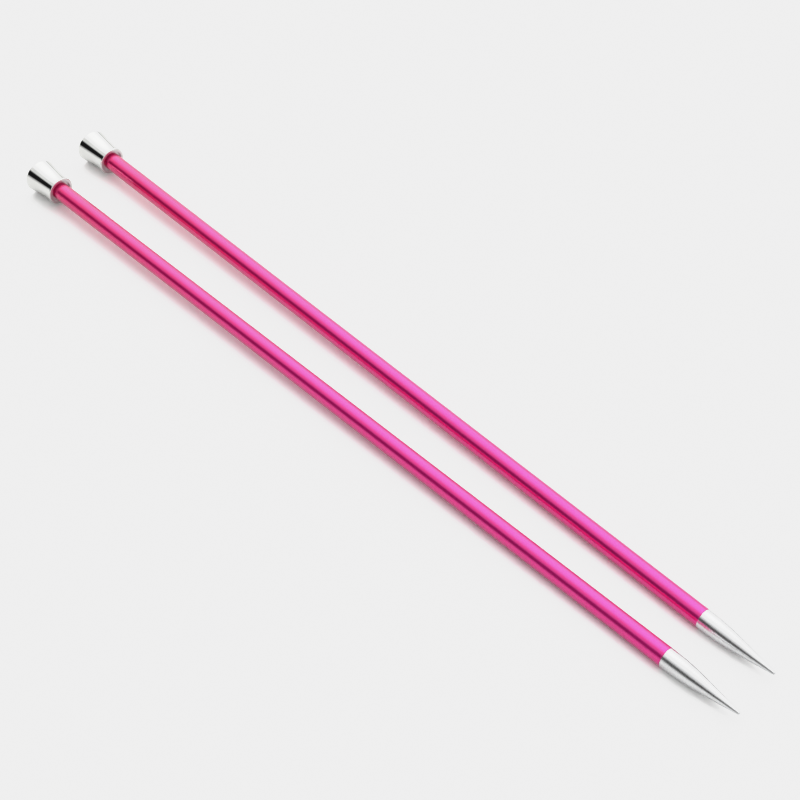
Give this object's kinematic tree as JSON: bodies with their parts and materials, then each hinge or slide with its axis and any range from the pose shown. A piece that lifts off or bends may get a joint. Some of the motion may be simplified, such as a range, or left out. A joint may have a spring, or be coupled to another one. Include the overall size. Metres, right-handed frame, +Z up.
{
  "type": "straight knitting needle pair",
  "caption": "Pair of straight knitting needles: pink anodised tubular shafts with satin metal points and bright waisted end caps, lying side by side.",
  "frame": {"origin": "middle of the pair's footprint, on the table the needles lie on", "axes": "+Y from the end caps towards the points, along the pair; +X across, from the left needle to the right one; +Z up from the table"},
  "size_m": [0.0284, 0.2514, 0.0094],
  "materials": {
    "anodised_shaft": "bright pink anodised, polished, faint draw lines",
    "bright_cap": "mirror bright plated",
    "satin_tip": "satin plated, fine turning marks",
    "adhesive": "cured clear adhesive"
  },
  "bodies": {
    "right_needle": {"right_shaft": "anodised_shaft", "right_end_cap": "bright_cap", "right_cap_bond": "adhesive", "right_tip": "satin_tip", "right_tip_bond": "adhesive"},
    "left_needle": {"left_shaft": "anodised_shaft", "left_end_cap": "bright_cap", "left_cap_bond": "adhesive", "left_tip": "satin_tip", "left_tip_bond": "adhesive"}
  },
  "joints": [
    {"name": "left_needle_lift", "type": "slide", "parent": "right_needle", "child": "left_needle", "axis": [0, 0, 1], "range_m": [0, 0.1]}
  ]
}
